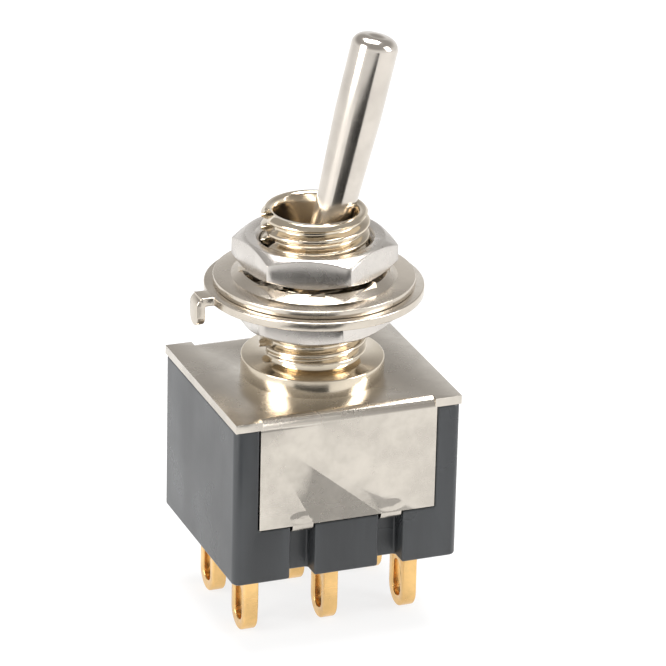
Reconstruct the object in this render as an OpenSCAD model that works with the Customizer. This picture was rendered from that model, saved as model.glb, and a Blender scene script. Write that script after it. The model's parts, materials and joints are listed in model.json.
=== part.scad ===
// Miniature panel toggle switch, two poles and two positions, with solder lugs.
// Origin: on the bushing's axis, at the top face of the steel frame. +Z is up.
// The row of three lugs and the lever's swing run along X, the poles lie at -Y and +Y.
// The lever is drawn at rest, thrown towards +X.

/* [Case] */
// Length of the case, along the lever's swing
case_l = 13.2; // [12.6:0.1:15]
// Depth of the case over both flanges of the frame
case_d = 11.7; // [11.2:0.1:14]
// Height of the moulded case, below the frame
case_h = 9.2; // [9:0.1:11]
// Rounding of the upright corners of the case
case_corner_r = 0.45; // [0.2:0.05:0.8]
// Thickness of the two end walls
end_wall = 1.0; // [0.7:0.05:1.2]
// Thickness of the walls behind the flanges
side_wall = 0.85; // [0.6:0.05:1]
// Thickness of the web between the two poles
divider_t = 0.9; // [0.6:0.05:1.2]
// Thickness of the floor that holds the terminals
floor_t = 1.6; // [1.2:0.05:1.8]
// Depth of the resin poured under the floor
seal_t = 0.8; // [0.5:0.05:1]
// Rim left round the resin at the ends
seal_rim = 0.7; // [0.5:0.05:0.9]

/* [Frame] */
// Thickness of the steel sheet
sheet_t = 0.5; // [0.4:0.05:0.6]
// Width of the two folded flanges
flange_w = 10.3; // [9.5:0.1:11]
// Height of the flanges, from the top face of the frame
flange_h = 6.5; // [6:0.1:7]
// Inside radius of the fold
fold_r = 0.15; // [0.1:0.05:0.25]
// Width of each crimp tab
tab_w = 1.2; // [0.9:0.05:1.4]
// Distance of the crimp tabs from the middle
tab_x = 2.6; // [2.2:0.05:3]
// Reach of each crimp tab, inwards from the flange's outer face
tab_reach = 1.0; // [0.9:0.02:1.08]

/* [Bushing] */
// Outside diameter of the bushing's thread
thread_d = 6.0; // [5.9:0.05:6.2]
// Pitch of the thread
thread_pitch = 0.75; // [0.5:0.05:0.9]
// Depth of the thread's grooves
thread_depth = 0.35; // [0.25:0.05:0.4]
// Height of the bushing above the frame
bushing_h = 9.7; // [9.4:0.05:10.5]
// Diameter of the collar that stands on the frame
collar_d = 8.0; // [7.4:0.1:8.6]
// Height of the collar
collar_h = 1.05; // [0.8:0.05:1.4]
// Diameter of the plain neck above the collar
relief_d = 5.2; // [5:0.05:5.5]
// Height of the plain neck above the collar
relief_h = 0.5; // [0.3:0.05:0.6]
// Width of the keyway along the thread
keyway_w = 1.2; // [0.9:0.05:1.5]
// Depth of the keyway
keyway_depth = 0.45; // [0.3:0.05:0.5]
// Diameter of the bushing's open mouth
mouth_d = 4.7; // [4.6:0.05:4.8]
// Depth of the straight mouth
mouth_depth = 0.7; // [0.4:0.05:1]
// Diameter of the throat above the lever's ball
throat_d = 3.1; // [3:0.05:3.2]
// Length of the straight throat
throat_l = 0.15; // [0.1:0.05:0.2]
// Widening of the bore's foot, where the lever's stem swings
foot_flare = 0.3; // [0.2:0.05:0.4]
// Thickness of the riveted rim under the frame
rivet_t = 0.3; // [0.2:0.05:0.35]
// Diameter of the riveted rim under the frame
rivet_d = 7.2; // [6.8:0.1:7.4]
// Diameter of the bushing where it passes the frame
spigot_d = 6.3; // [6:0.05:6.6]

/* [Lever] */
// Height of the lever's pivot above the frame
pivot_z = 4.7; // [4.5:0.05:4.9]
// Throw of the lever to each side of upright, in degrees
throw = 13; // [10:0.5:13]
// Length of the lever from its pivot to its tip
lever_l = 15.1; // [12:0.1:18]
// Diameter of the lever at its tip
lever_tip_d = 2.6; // [2.4:0.05:2.9]
// Diameter of the lever where it enters the bushing
lever_neck_d = 2.2; // [2:0.05:2.25]
// Length of the straight end of the lever, below its rounding
lever_grip_l = 4.0; // [2:0.5:6]
// Rounding of the lever's tip
lever_tip_r = 0.75; // [0.3:0.05:1]
// Diameter of the lever's pivot ball
ball_d = 4.0; // [3.8:0.05:4.1]
// Diameter of the stem below the ball
stem_d = 1.4; // [1.1:0.05:1.45]
// Diameter of the small ball at the lower end
heel_d = 1.6; // [1.5:0.05:1.8]
// Distance from the pivot to the lower ball
heel_l = 7.3; // [7.2:0.05:7.5]

/* [Slider] */
// Length of the nylon slider
slider_l = 6.4; // [5.6:0.1:7]
// Height of the slider's block
slider_h = 3.3; // [3.1:0.05:3.4]
// Width of each of the slider's top rails
rail_w = 0.45; // [0.3:0.05:0.5]
// Height of the slider's top rails
rail_h = 0.5; // [0.4:0.05:0.5]
// Outside diameter of the slider's two barrels
barrel_d = 2.9; // [2.7:0.05:3.1]
// Length of the barrels below the block
barrel_drop = 0.65; // [0.5:0.05:0.75]
// Thickness of the slider above each spring
spring_roof = 0.85; // [0.6:0.05:1.1]

/* [Plungers and springs] */
// Diameter of the plungers
plunger_d = 1.75; // [1.6:0.05:1.9]
// Length of a plunger from its shoulder to its round end
plunger_l = 1.85; // [1.6:0.05:2]
// Diameter of the pin inside the spring
spigot_pin_d = 0.85; // [0.6:0.05:0.9]
// Length of the pin inside the spring
spigot_pin_l = 0.8; // [0.5:0.05:1]
// Travel of a plunger into its barrel
plunger_travel = 0.4; // [0.2:0.05:0.5]
// Outside diameter of the springs
spring_d = 1.6; // [1.45:0.05:1.65]
// Diameter of the spring wire
wire_d = 0.22; // [0.16:0.02:0.26]
// Turns of each spring
spring_turns = 5; // [4:0.5:6]

/* [Contacts] */
// Width of the rocking contact blades
blade_w = 2.2; // [1.8:0.1:2.3]
// Thickness of the rocking contact blades
blade_t = 0.35; // [0.25:0.05:0.4]
// Length of each arm of a rocking blade
blade_arm = 4.7; // [4.4:0.05:4.9]
// Angle that each arm rises from the middle, in degrees
blade_rise = 5; // [4:0.5:5.5]
// Radius of the blade's pivot bead
bead_r = 0.5; // [0.4:0.05:0.55]
// Height of the blade's bent middle above the pivot
bead_rise = 0.55; // [0.5:0.05:0.65]
// Diameter of the silver contacts
rivet_head_d = 1.5; // [1.2:0.1:1.8]
// Height of the silver contacts above their pads
rivet_head_h = 0.5; // [0.4:0.05:0.6]
// Diameter of the contacts' shanks
rivet_shank_d = 0.8; // [0.6:0.1:1]
// Distance of the silver contacts from the middle
rivet_x = 4.0; // [3.8:0.05:4.1]

/* [Terminals] */
// Distance between neighbouring lugs in a row
lug_pitch = 4.75; // [4.6:0.05:4.85]
// Distance of each row of lugs outwards from the middle of its bay
row_offset = 0.15; // [0:0.05:0.2]
// Thickness of the lugs
lug_t = 0.8; // [0.6:0.05:0.9]
// Width of the lugs
lug_w = 2.2; // [1.8:0.1:2.3]
// Length of the lugs below the case
lug_l = 4.25; // [3.5:0.05:6]
// Width of the slot in each lug
eye_w = 1.1; // [0.8:0.05:1.3]
// Length of the slot in each lug
eye_l = 2.2; // [1.4:0.1:2.6]
// Metal left between the slot and the end of the lug
eye_edge = 0.6; // [0.5:0.05:0.8]
// Thickness of the pads under the silver contacts
pad_t = 0.6; // [0.4:0.05:0.65]
// Length of the pads
pad_l = 2.0; // [1.8:0.1:2.2]
// Length of the saddle that carries a rocking blade
saddle_l = 1.7; // [1.5:0.1:2]
// Thickness of the saddle's two ears
ear_t = 0.3; // [0.2:0.05:0.35]
// Height of the ears above the pivot
ear_rise = 0.7; // [0.4:0.05:0.75]

/* [Nuts and washers] */
// Width across the flats of both nuts
nut_af = 8.0; // [7.8:0.1:9]
// Thickness of both nuts
nut_t = 1.75; // [1.5:0.05:1.8]
// Height of the lower nut's underside above the frame
lower_nut_z = 3.1; // [3:0.05:3.2]
// Turn of the lower nut, in degrees
lower_nut_turn = 30; // [0:1:59]
// Turn of the upper nut, in degrees
upper_nut_turn = -25; // [-59:1:0]
// Outside diameter of the locating washer
locating_d = 12.2; // [11.6:0.1:12.6]
// Thickness of the locating washer
locating_t = 0.5; // [0.4:0.05:0.6]
// Width of the locating washer's bent tab
locating_tab_w = 1.2; // [1:0.1:1.6]
// Height of the locating washer's bent tab below its top face
locating_tab_h = 1.7; // [1.4:0.1:2]
// Reach of the tab's outer face past the washer's edge
locating_tab_reach = 0.95; // [0.9:0.05:1.2]
// Outside diameter of the lock washer
lock_d = 11.2; // [10.8:0.1:11.6]
// Thickness of the lock washer
lock_t = 0.45; // [0.35:0.05:0.5]
// Width of the lock washer's flat rim
lock_rim_w = 1.0; // [0.8:0.05:1.1]
// Number of inner teeth of the lock washer
lock_teeth = 8; // [6:1:10]
// Width of each tooth
lock_tooth_w = 1.5; // [1.2:0.1:1.8]
// Twist of each tooth, in degrees
lock_twist = 14; // [8:1:16]
// Height that the lock washer rises towards its teeth
lock_dish = 0.35; // [0.2:0.05:0.4]

/* [Fits] */
// Gap between the lever's ball and its seat
ball_gap = 0.05; // [0.03:0.01:0.08]
// Gap between each nut and the thread
thread_gap = 0.05; // [0.03:0.01:0.08]
// Gap between the washers and the thread
washer_gap = 0.1; // [0.05:0.01:0.15]
// Gap between the stacked nuts and washers
stack_gap = 0.02; // [0.02:0.01:0.05]
// Gap of the slider's socket round the lower ball
heel_gap = 0.04; // [0.03:0.01:0.06]
// Gap between the plungers and their barrels
plunger_gap = 0.05; // [0.03:0.01:0.08]
// Gap under the plungers, contacts and pivot beads
contact_gap = 0.05; // [0.04:0.01:0.06]
// Gap between the slider and the case and frame
slide_gap = 0.1; // [0.06:0.01:0.12]
// Gap between the flanges and the case
flange_gap = 0.05; // [0.02:0.01:0.1]
// Gap between the crimp tabs and their slots
tab_gap = 0.12; // [0.05:0.01:0.15]

/* [Hidden] */

front = -1;
rear = 1;
left = -1;
right = 1;
round_fn = 64;
joint_lap = 0.1; // how far touching pieces of one solid run into each other

// Case: levels and half sizes of its spaces
case_top = -sheet_t;
case_bottom = case_top - case_h;
floor_z = case_bottom + seal_t + floor_t;
recess_y = case_d / 2 - sheet_t - flange_gap;
well_x = case_l / 2 - end_wall;
well_y = recess_y - side_wall;
well_mid_y = (well_y + divider_t / 2) / 2;
row_y = well_mid_y + row_offset;
slot_w = tab_w + 2 * tab_gap;
slot_y = case_d / 2 - tab_reach - tab_gap;
seal_x = case_l / 2 - seal_rim;

// Slider, plungers and blades: levels
slider_top = case_top - rail_h;
slider_bottom = slider_top - slider_h;
barrel_bottom = slider_bottom - barrel_drop;
slider_w = 2 * (well_y - slide_gap);
heel_z = pivot_z - heel_l;
heel_swing = heel_l * sin(throw);
heel_lift = heel_l * (1 - cos(throw));
spring_top = slider_top - spring_roof;
blade_top_z = floor_z + pad_t + rivet_head_h + contact_gap + blade_t;
plunger_tip_z = blade_top_z + contact_gap;
plunger_shoulder_z = plunger_tip_z + plunger_l;
plunger_stop_z = plunger_shoulder_z + plunger_travel + contact_gap;
bead_z = blade_top_z - bead_rise * cos(blade_rise);
ear_y = blade_w / 2 + contact_gap;

// Bushing, nuts and washers: levels and radii
thread_r = thread_d / 2;
thread_lead = thread_pitch / 3; // bevel at the start of the thread
lower_nut_top = lower_nut_z + nut_t;
locating_z = lower_nut_top + stack_gap;
lock_z = locating_z + locating_t + stack_gap;
tooth_top = lock_z + lock_dish + lock_t + lock_tooth_w / 2 * sin(lock_twist);
upper_nut_z = tooth_top + stack_gap;

// ---- General shapes -------------------------------------------------------

// Box centred on X and Y that stands on z
module block(l, w, h, z) {
    translate([-l / 2, -w / 2, z]) cube([l, w, h]);
}

// Straight round bar from z up
module bar(r, h, z) {
    translate([0, 0, z]) cylinder(r = r, h = h, $fn = round_fn);
}

// Flat ring from z up
module ring(outer_r, inner_r, h, z) {
    difference() {
        bar(outer_r, h, z);
        bar(inner_r, h + 2 * joint_lap, z - joint_lap);
    }
}

// Puts its children at the front (-1) or rear (+1) pole
module at_pole(side) {
    translate([0, side * row_y, 0]) children();
}

// ---- Case and frame -------------------------------------------------------

module case_outline() {
    square_l = case_l - 2 * case_corner_r;
    square_d = case_d - 2 * case_corner_r;
    square([square_l, case_d], center = true);
    square([case_l, square_d], center = true);
    for (x = [left, right], y = [front, rear])
        translate([x * square_l / 2, y * square_d / 2]) circle(r = case_corner_r, $fn = round_fn);
}

// Section of the space for a flange, with a bevel that clears the inside of the fold by half
module recess_section() {
    outside_y = case_d / 2 + joint_lap;
    recess_bottom = -flange_h - flange_gap;
    bevel = 1.5 * fold_r;
    polygon([
        [outside_y, recess_bottom], [recess_y, recess_bottom], [recess_y, case_top - bevel],
        [recess_y - bevel, case_top], [recess_y - bevel, case_top + joint_lap],
        [outside_y, case_top + joint_lap]
    ]);
}

// Space cut from the case for one flange and its two crimp tabs
module flange_recess() {
    slot_depth = case_d / 2 + joint_lap - slot_y;
    extrude_x(flange_w + 2 * flange_gap, 0) recess_section();
    for (x = [left, right])
        translate([x * tab_x, slot_y + slot_depth / 2, 0])
            block(slot_w, slot_depth, -case_bottom - flange_h + joint_lap, case_bottom - joint_lap);
}

// Slots in the floor for the six terminals
module terminal_slots() {
    for (side = [front, rear], x = [left, 0, right])
        translate([x * lug_pitch, side * row_y, 0])
            block(lug_t, lug_w, floor_t + 2 * joint_lap, floor_z - floor_t - joint_lap);
}

module case_moulding() {
    color([0.10, 0.10, 0.11]) difference() {
        translate([0, 0, case_bottom]) linear_extrude(height = case_h) case_outline();
        for (side = [0, 1]) mirror([0, side, 0]) {
            flange_recess();
            translate([0, well_mid_y, 0])
                block(2 * well_x, well_y - divider_t / 2, case_h, floor_z);
        }
        // open space above the web, where the slider runs
        block(2 * well_x, 2 * well_y, case_h, slider_bottom - 2 * slide_gap);
        block(2 * seal_x, 2 * well_y, seal_t + joint_lap, case_bottom - joint_lap);
        terminal_slots();
    }
}

module terminal_seal() {
    color([0.16, 0.15, 0.14]) difference() {
        block(2 * seal_x, 2 * well_y, seal_t, case_bottom);
        for (side = [front, rear], x = [left, 0, right])
            translate([x * lug_pitch, side * row_y, 0])
                block(lug_t, lug_w, seal_t + 2 * joint_lap, case_bottom - joint_lap);
    }
}

// Section of the folded sheet, as seen along X: Y to the right, Z up
module frame_section() {
    fold_out = fold_r + sheet_t;
    flat_w = case_d - 2 * fold_out;
    translate([-flat_w / 2, -sheet_t]) square([flat_w, sheet_t]);
    for (side = [0, 1]) mirror([side, 0]) {
        translate([case_d / 2 - sheet_t, -flange_h]) square([sheet_t, flange_h - fold_out]);
        translate([flat_w / 2, -fold_out]) intersection() {
            difference() {
                circle(r = fold_out, $fn = round_fn);
                circle(r = fold_r, $fn = round_fn);
            }
            square([fold_out, fold_out]);
        }
    }
}

// Section of a crimp tab, folded inwards under the flange
module tab_section() {
    translate([case_d / 2 - sheet_t, -flange_h]) intersection() {
        circle(r = sheet_t, $fn = round_fn);
        translate([0, -sheet_t]) square([sheet_t, sheet_t]);
    }
    translate([case_d / 2 - tab_reach, -flange_h - sheet_t])
        square([tab_reach - sheet_t, sheet_t - flange_gap / 2]);
}

// Turns a Y-Z section into a solid of width w, centred on x
module extrude_x(w, x) {
    translate([x - w / 2, 0, 0]) rotate([90, 0, 90]) linear_extrude(height = w) children();
}

module frame() {
    color([0.66, 0.63, 0.57]) difference() {
        union() {
            extrude_x(flange_w, 0) frame_section();
            for (x = [left, right]) {
                end_l = (case_l - flange_w) / 2 + joint_lap;
                translate([x * (case_l / 2 - end_l / 2), 0, 0]) block(end_l, case_d, sheet_t, -sheet_t);
                for (side = [0, 1]) mirror([0, side, 0])
                    extrude_x(tab_w, x * tab_x) tab_section();
            }
        }
        bar(spigot_d / 2, sheet_t + 2 * joint_lap, -sheet_t - joint_lap);
    }
}

// ---- Bushing and lever ----------------------------------------------------

// Space inside the bushing, as a half section: radius to the right, Z up
module bore_section() {
    bore_r = ball_d / 2 + ball_gap;
    bottom = case_top - rivet_t;
    throat_z = sqrt(pow(bore_r, 2) - pow(throat_d / 2, 2));
    cone_h = bushing_h - mouth_depth - pivot_z;
    mouth_r = mouth_d / 2;
    mouth_bevel = thread_lead / 2;
    foot_r = bore_r + foot_flare;
    polygon([
        [0, bottom - joint_lap], [foot_r, bottom - joint_lap], [foot_r, bottom],
        [bore_r, pivot_z / 2], [bore_r, pivot_z], [0, pivot_z]
    ]);
    translate([0, pivot_z]) intersection() {
        circle(r = bore_r, $fn = round_fn);
        square([bore_r, bore_r]);
    }
    polygon([
        [0, pivot_z + throat_z - joint_lap], [throat_d / 2, pivot_z + throat_z - joint_lap],
        [throat_d / 2, pivot_z + throat_z + throat_l], [mouth_r, pivot_z + cone_h],
        [mouth_r, bushing_h - mouth_bevel],
        [mouth_r + mouth_bevel, bushing_h], [mouth_r + mouth_bevel, bushing_h + joint_lap],
        [0, bushing_h + joint_lap]
    ]);
}

// Half section of the threaded part, with one groove for each turn of the thread
module thread_section() {
    bottom = collar_h + relief_h;
    crest = thread_pitch / 8;
    turns = floor((bushing_h - thread_lead - bottom - crest) / thread_pitch);
    first = bushing_h - thread_lead - crest - turns * thread_pitch;
    slope = thread_depth * tan(30);
    grooves = [for (i = [0:turns - 1]) let (z = first + i * thread_pitch) each [
        [thread_r, z + crest], [thread_r - thread_depth, z + crest + slope],
        [thread_r - thread_depth, z + thread_pitch - slope], [thread_r, z + thread_pitch]
    ]];
    polygon(concat(
        [[0, bottom - joint_lap], [relief_d / 2, bottom - joint_lap], [relief_d / 2, bottom],
            [thread_r, bottom]],
        grooves,
        [[thread_r, bushing_h - thread_lead], [thread_r - thread_lead, bushing_h], [0, bushing_h]]
    ));
}

module bushing() {
    bottom = case_top - rivet_t;
    color([0.72, 0.67, 0.56]) difference() {
        union() {
            bar(rivet_d / 2, rivet_t, bottom);
            bar(spigot_d / 2, sheet_t + 2 * joint_lap, -sheet_t - joint_lap);
            bar(collar_d / 2, collar_h, 0);
            bar(relief_d / 2, relief_h, collar_h - joint_lap);
            rotate_extrude($fn = round_fn) thread_section();
        }
        rotate_extrude($fn = round_fn) bore_section();
        translate([-thread_r - keyway_w / 2 + keyway_depth, 0, 0])
            block(keyway_w, keyway_w, bushing_h, collar_h);
    }
}

// Half section of the lever, upright, with its pivot at the origin
module lever_section() {
    tip_r = lever_tip_d / 2;
    neck_r = lever_neck_d / 2;
    neck_top = bushing_h - pivot_z;
    shoulder = lever_l - lever_tip_r;
    intersection() {
        circle(r = ball_d / 2, $fn = round_fn);
        translate([0, -ball_d / 2]) square([ball_d, ball_d]);
    }
    polygon([
        [0, 0], [neck_r, 0], [neck_r, neck_top], [tip_r, shoulder - lever_grip_l],
        [tip_r, shoulder], [0, shoulder]
    ]);
    translate([0, shoulder - joint_lap]) square([tip_r - lever_tip_r, lever_tip_r + joint_lap]);
    translate([tip_r - lever_tip_r, shoulder]) intersection() {
        circle(r = lever_tip_r, $fn = round_fn);
        square([lever_tip_r, lever_tip_r]);
    }
    translate([0, -heel_l]) square([stem_d / 2, heel_l]);
    translate([0, -heel_l]) intersection() {
        circle(r = heel_d / 2, $fn = round_fn);
        translate([0, -heel_d / 2]) square([heel_d, heel_d]);
    }
}

module lever() {
    color([0.74, 0.68, 0.62])
        translate([0, 0, pivot_z]) rotate([0, throw, 0])
            rotate_extrude($fn = round_fn) lever_section();
}

// ---- Slider, plungers and springs -----------------------------------------

// The slider stands at -X while the lever leans to +X
module at_slider() {
    translate([-heel_swing, 0, 0]) children();
}

module slider() {
    socket_r = heel_d / 2 + heel_gap;
    socket_floor = heel_z - heel_d / 2 - 2 * heel_gap;
    cone_z = heel_z + heel_lift + heel_gap;
    lean_r = stem_d / 2 / cos(throw) + (slider_top - heel_z) * tan(throw) + heel_gap;
    color([0.90, 0.88, 0.82]) at_slider() difference() {
        union() {
            block(slider_l, slider_w, slider_h, slider_bottom);
            for (side = [front, rear]) {
                translate([0, side * (slider_w - rail_w) / 2, 0])
                    block(slider_l, rail_w, rail_h - slide_gap / 2 + joint_lap,
                        slider_top - joint_lap);
                at_pole(side) bar(barrel_d / 2, barrel_drop + joint_lap, barrel_bottom);
            }
        }
        bar(socket_r, slider_top - socket_floor + joint_lap, socket_floor);
        translate([0, 0, cone_z])
            cylinder(r1 = socket_r, r2 = lean_r, h = slider_top - cone_z, $fn = round_fn);
        for (side = [front, rear]) at_pole(side) {
            bar(plunger_d / 2 + plunger_gap, plunger_stop_z - barrel_bottom + joint_lap,
                barrel_bottom - joint_lap);
            bar(spring_d / 2 + plunger_gap, spring_top - plunger_stop_z + joint_lap,
                plunger_stop_z - joint_lap);
        }
    }
}

module plunger(side) {
    r = plunger_d / 2;
    color([0.55, 0.53, 0.50]) at_slider() at_pole(side) {
        translate([0, 0, plunger_tip_z + r]) sphere(r = r, $fn = round_fn);
        bar(r, plunger_l - r, plunger_tip_z + r);
        bar(spigot_pin_d / 2, spigot_pin_l + joint_lap, plunger_shoulder_z - joint_lap);
    }
}

// Points of the spring's wire: a helix with a closed turn at each end
function spring_point(t, turns, h, r) =
    let (closed = 0.75, // turns wound close at each end
         closed_pitch = 1.08 * wire_d,
         lift = max(0, min(turns - closed, t) - closed) / (turns - 2 * closed),
         end_lift = closed_pitch * (min(t, closed) + max(0, t - turns + closed)),
         climb = h - wire_d - 2 * closed_pitch * closed)
    [r * cos(360 * t), r * sin(360 * t), wire_d / 2 + end_lift + climb * lift];

// Coil spring of height h that stands on the origin
module coil(h) {
    sides = 6;
    steps_per_turn = 20;
    steps = round(spring_turns * steps_per_turn);
    r = (spring_d - wire_d) / 2;
    rings = [for (i = [0:steps])
        let (t = i / steps_per_turn, c = spring_point(t, spring_turns, h, r))
        for (k = [0:sides - 1])
            let (a = 360 * k / sides, out = wire_d / 2 * cos(a), up = wire_d / 2 * sin(a))
            [c[0] + out * cos(360 * t), c[1] + out * sin(360 * t), c[2] + up]];
    wall = [for (i = [0:steps - 1], k = [0:sides - 1])
        let (next = (k + 1) % sides)
        [i * sides + k, i * sides + next, (i + 1) * sides + next, (i + 1) * sides + k]];
    first_end = [for (k = [sides - 1:-1:0]) k];
    last_end = [for (k = [0:sides - 1]) steps * sides + k];
    polyhedron(points = rings, faces = concat(wall, [first_end], [last_end]));
}

module spring(side) {
    seat = plunger_shoulder_z + contact_gap / 2;
    color([0.70, 0.70, 0.70]) at_slider() at_pole(side)
        translate([0, 0, seat]) coil(spring_top - contact_gap / 2 - seat);
}

// ---- Contacts and terminals -----------------------------------------------

// Section of a rocking blade's two rising arms
module blade_section() {
    along = blade_arm * cos(blade_rise);
    up = blade_arm * sin(blade_rise);
    thick_x = blade_t * sin(blade_rise);
    thick_y = blade_t * cos(blade_rise);
    translate([0, bead_rise]) polygon([
        [-along, up], [0, 0], [along, up], [along + thick_x, up - thick_y],
        [0, -blade_t / cos(blade_rise)], [-along - thick_x, up - thick_y]
    ]);
}

// Rocking blade, tipped so that the arm under the plunger lies level
module blade(side) {
    bead_w = blade_w - 2 * contact_gap;
    color([0.80, 0.79, 0.76])
        translate([0, side * row_y, bead_z]) rotate([90, -blade_rise, 0]) {
            linear_extrude(height = blade_w, center = true) blade_section();
            cylinder(r = bead_r, h = bead_w, center = true, $fn = round_fn);
        }
}

// Silver contact, riveted through the pad of an outer terminal
module contact(side, end) {
    color([0.83, 0.83, 0.82]) translate([end * rivet_x, side * row_y, floor_z]) {
        bar(rivet_shank_d / 2, pad_t + joint_lap, 0);
        intersection() {
            bar(rivet_head_d / 2, rivet_head_h, pad_t);
            dome_r = 2 * rivet_head_d;
            translate([0, 0, pad_t + rivet_head_h - dome_r]) sphere(r = dome_r, $fn = round_fn);
        }
    }
}

// Blade of a lug, from the floor of the case to its round end below
module lug_blade() {
    tip_z = case_bottom - lug_l;
    rotate([90, 0, 90]) linear_extrude(height = lug_t, center = true) difference() {
        union() {
            translate([-lug_w / 2, tip_z + lug_w / 2])
                square([lug_w, floor_z - tip_z - lug_w / 2 + joint_lap]);
            translate([0, tip_z + lug_w / 2]) circle(r = lug_w / 2, $fn = round_fn);
        }
        for (z = [eye_w / 2, eye_l - eye_w / 2])
            translate([0, tip_z + eye_edge + z]) circle(r = eye_w / 2, $fn = round_fn);
        translate([-eye_w / 2, tip_z + eye_edge + eye_w / 2]) square([eye_w, eye_l - eye_w]);
    }
}

// Outer terminal: its lug and the pad that carries a silver contact
module outer_lug(side, end) {
    pad_x = lug_pitch + lug_t / 2 - pad_l / 2;
    color([0.88, 0.72, 0.42]) at_pole(side) difference() {
        union() {
            translate([end * lug_pitch, 0, 0]) lug_blade();
            translate([end * pad_x, 0, 0]) block(pad_l, lug_w, pad_t, floor_z);
        }
        translate([end * rivet_x, 0, 0]) bar(rivet_shank_d / 2, pad_t + joint_lap, floor_z);
    }
}

// Middle terminal: its lug and the eared saddle in which a blade rocks
module middle_lug(side) {
    saddle_grip = 0.3; // share of the bead's radius left below the pivot
    saddle_top = bead_z - bead_r * saddle_grip;
    color([0.88, 0.72, 0.42]) at_pole(side) {
        lug_blade();
        difference() {
            union() {
                block(saddle_l, blade_w + 2 * contact_gap + joint_lap, saddle_top - floor_z, floor_z);
                for (y = [front, rear])
                    translate([0, y * (ear_y + ear_t / 2), 0])
                        block(saddle_l, ear_t, bead_z + ear_rise - floor_z, floor_z);
            }
            translate([0, 0, bead_z]) rotate([90, 0, 0])
                cylinder(r = bead_r + contact_gap, h = 2 * ear_y, center = true, $fn = round_fn);
        }
    }
}

// ---- Nuts and washers -----------------------------------------------------

// Hexagon nut with both faces chamfered, standing on z
module nut(turn, z) {
    corner_r = nut_af / sqrt(3);
    face_inset = 0.05; // the round face lies this far inside the flats
    face_r = nut_af / 2 - face_inset;
    chamfer_h = (corner_r - face_r) * tan(30);
    bore_r = thread_r + thread_gap;
    bore_bevel = thread_pitch / 3;
    color([0.74, 0.70, 0.65]) translate([0, 0, z]) rotate([0, 0, turn]) difference() {
        intersection() {
            cylinder(r = corner_r, h = nut_t, $fn = 6);
            rotate_extrude($fn = round_fn) polygon([
                [0, 0], [face_r, 0], [corner_r, chamfer_h], [corner_r, nut_t - chamfer_h],
                [face_r, nut_t], [0, nut_t]
            ]);
        }
        bar(bore_r, nut_t + 2 * joint_lap, -joint_lap);
        translate([0, 0, nut_t - bore_bevel])
            cylinder(r1 = bore_r, r2 = bore_r + bore_bevel + joint_lap, h = bore_bevel + joint_lap,
                $fn = round_fn);
        translate([0, 0, -joint_lap])
            cylinder(r1 = bore_r + bore_bevel + joint_lap, r2 = bore_r, h = bore_bevel + joint_lap,
                $fn = round_fn);
    }
}

module lower_nut() {
    nut(lower_nut_turn, lower_nut_z);
}

module upper_nut() {
    nut(upper_nut_turn, upper_nut_z);
}

// Washer with a key inside, which runs in the keyway, and a tab bent down outside
module locating_washer() {
    outer_r = locating_d / 2;
    inner_r = thread_r + washer_gap;
    key_r = thread_r - keyway_depth + washer_gap;
    key_w = keyway_w - 2 * washer_gap;
    tab_out = outer_r + locating_tab_reach;
    color([0.78, 0.74, 0.68]) {
        difference() {
            union() {
                ring(outer_r, inner_r, locating_t, locating_z);
                translate([-(inner_r + outer_r) / 2, 0, 0])
                    block(outer_r - inner_r, locating_tab_w, locating_t, locating_z);
            }
            bar(inner_r, locating_t + 2 * joint_lap, locating_z - joint_lap);
        }
        translate([-(key_r + outer_r) / 2, 0, 0])
            block(outer_r - key_r, key_w, locating_t, locating_z);
        translate([-(outer_r + tab_out) / 2 + locating_t / 2, 0, 0])
            block(tab_out - outer_r, locating_tab_w, locating_t, locating_z);
        // fold and hanging end of the tab
        translate([-tab_out + locating_t, 0, locating_z]) rotate([90, 0, 0])
            linear_extrude(height = locating_tab_w, center = true) {
                intersection() {
                    circle(r = locating_t, $fn = round_fn);
                    translate([-locating_t, 0]) square([locating_t, locating_t]);
                }
                translate([-locating_t, locating_tab_w / 2 - locating_tab_h + locating_t])
                    square([locating_t, locating_tab_h - locating_t - locating_tab_w / 2]);
            }
        translate([-tab_out, 0, locating_z + locating_t - locating_tab_h + locating_tab_w / 2])
            rotate([0, 90, 0]) cylinder(r = locating_tab_w / 2, h = locating_t, $fn = round_fn);
    }
}

// Dished spring washer with twisted teeth inside
module lock_washer() {
    outer_r = lock_d / 2;
    root_r = outer_r - lock_rim_w;
    teeth_r = thread_r + washer_gap;
    slope_w = 0.55; // width of the sloping ring inside the flat rim
    inner_r = root_r - slope_w;
    color([0.70, 0.66, 0.60]) {
        translate([0, 0, lock_z]) rotate_extrude($fn = round_fn) polygon([
            [inner_r, lock_dish], [root_r, 0], [outer_r, 0], [outer_r, lock_t],
            [root_r, lock_t], [inner_r, lock_dish + lock_t]
        ]);
        intersection() {
            ring(inner_r + joint_lap, teeth_r, 2 * lock_z, 0);
            for (i = [0:lock_teeth - 1])
                rotate([0, 0, 360 * (i + 0.5) / lock_teeth])
                    translate([0, 0, lock_z + lock_dish + lock_t / 2]) rotate([lock_twist, 0, 0])
                        translate([0, -lock_tooth_w / 2, -lock_t / 2])
                            cube([root_r, lock_tooth_w, lock_t]);
        }
    }
}

// ---- Nodes ----------------------------------------------------------------

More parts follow.
